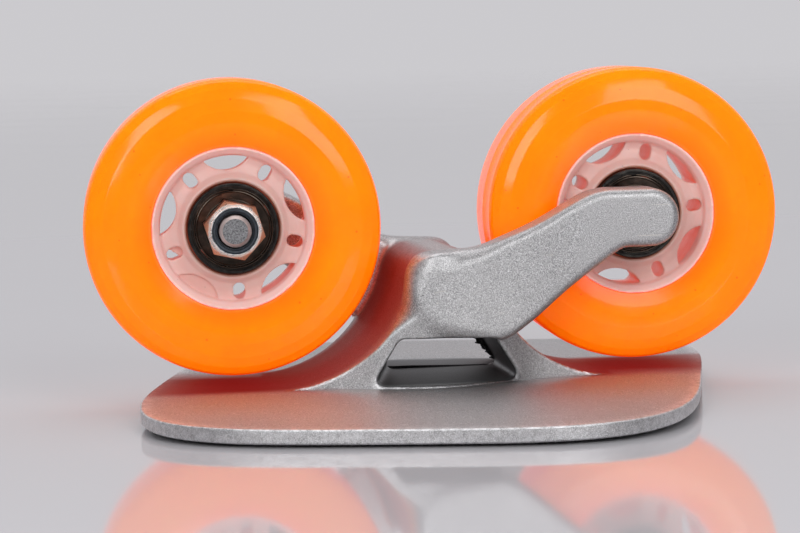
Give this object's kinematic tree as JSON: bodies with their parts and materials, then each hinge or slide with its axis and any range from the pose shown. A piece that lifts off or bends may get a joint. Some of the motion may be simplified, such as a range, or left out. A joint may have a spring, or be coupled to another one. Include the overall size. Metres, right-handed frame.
{
  "type": "drift skate",
  "caption": "Drift skate foot plate with an S-shaped cast truck and two polyurethane wheels that roll in line across the foot.",
  "frame": {"origin": "centre of the bounding box on its underside: the surface that the foot plate lies on, wheels up", "axes": "+X along the rolling direction, from the wheel with its nut in front to the wheel behind the front arm; +Y along the axles, away from the front arm; +Z from the foot plate up to the wheels"},
  "size_m": [0.171, 0.1738, 0.0807],
  "materials": {
    "cast_aluminium": "sand-cast, bead-blasted",
    "orange_polyurethane": "glossy moulded, slightly translucent",
    "pink_nylon": "moulded nylon with an orange tint",
    "bearing_steel": "dark ground steel",
    "shield_steel": "dark pressed shield",
    "ball_steel": "polished",
    "zinc_steel": "zinc-plated",
    "blue_nylon": "moulded nylon",
    "black_grip": "silicon-carbide grit sheet"
  },
  "bodies": {
    "truck": {"truck_casting": "cast_aluminium", "grip_tape": "black_grip", "left_nut_bearing_inner_ring": "bearing_steel", "left_arm_bearing_inner_ring": "bearing_steel", "left_bearing_sleeve": "zinc_steel", "left_arm_spacer": "zinc_steel", "left_axle_stud": "zinc_steel", "left_lock_nut": "zinc_steel", "left_nut_insert": "blue_nylon", "right_nut_bearing_inner_ring": "bearing_steel", "right_arm_bearing_inner_ring": "bearing_steel", "right_bearing_sleeve": "zinc_steel", "right_arm_spacer": "zinc_steel", "right_axle_stud": "zinc_steel", "right_lock_nut": "zinc_steel", "right_nut_insert": "blue_nylon"},
    "left_wheel": {"left_tyre": "orange_polyurethane", "left_hub": "pink_nylon", "left_nut_bearing_outer_ring": "bearing_steel", "left_nut_bearing_open_side_shield": "shield_steel", "left_nut_bearing_closed_side_shield": "shield_steel", "left_arm_bearing_outer_ring": "bearing_steel", "left_arm_bearing_open_side_shield": "shield_steel", "left_arm_bearing_closed_side_shield": "shield_steel"},
    "left_ball_cages": {"left_nut_bearing_ball_cage": "ball_steel", "left_arm_bearing_ball_cage": "ball_steel"},
    "right_wheel": {"right_tyre": "orange_polyurethane", "right_hub": "pink_nylon", "right_nut_bearing_outer_ring": "bearing_steel", "right_nut_bearing_open_side_shield": "shield_steel", "right_nut_bearing_closed_side_shield": "shield_steel", "right_arm_bearing_outer_ring": "bearing_steel", "right_arm_bearing_open_side_shield": "shield_steel", "right_arm_bearing_closed_side_shield": "shield_steel"},
    "right_ball_cages": {"right_nut_bearing_ball_cage": "ball_steel", "right_arm_bearing_ball_cage": "ball_steel"}
  },
  "joints": [
    {"name": "left_wheel_spin", "type": "hinge", "parent": "truck", "child": "left_wheel", "pos_m": [-0.0495, -0.0023, 0.04472], "axis": [0, 1, 0], "continuous": true},
    {"name": "left_ball_cages_spin", "type": "hinge", "parent": "truck", "child": "left_ball_cages", "pos_m": [-0.0495, -0.0023, 0.04472], "axis": [0, 1, 0], "continuous": true},
    {"name": "right_wheel_spin", "type": "hinge", "parent": "truck", "child": "right_wheel", "pos_m": [0.0495, 0.0023, 0.04472], "axis": [0, 1, 0], "continuous": true},
    {"name": "right_ball_cages_spin", "type": "hinge", "parent": "truck", "child": "right_ball_cages", "pos_m": [0.0495, 0.0023, 0.04472], "axis": [0, 1, 0], "continuous": true}
  ],
  "couplings": [
    {"joint": "left_ball_cages_spin", "follows": "left_wheel_spin", "ratio": 0.6323},
    {"joint": "right_ball_cages_spin", "follows": "right_wheel_spin", "ratio": 0.6323}
  ]
}
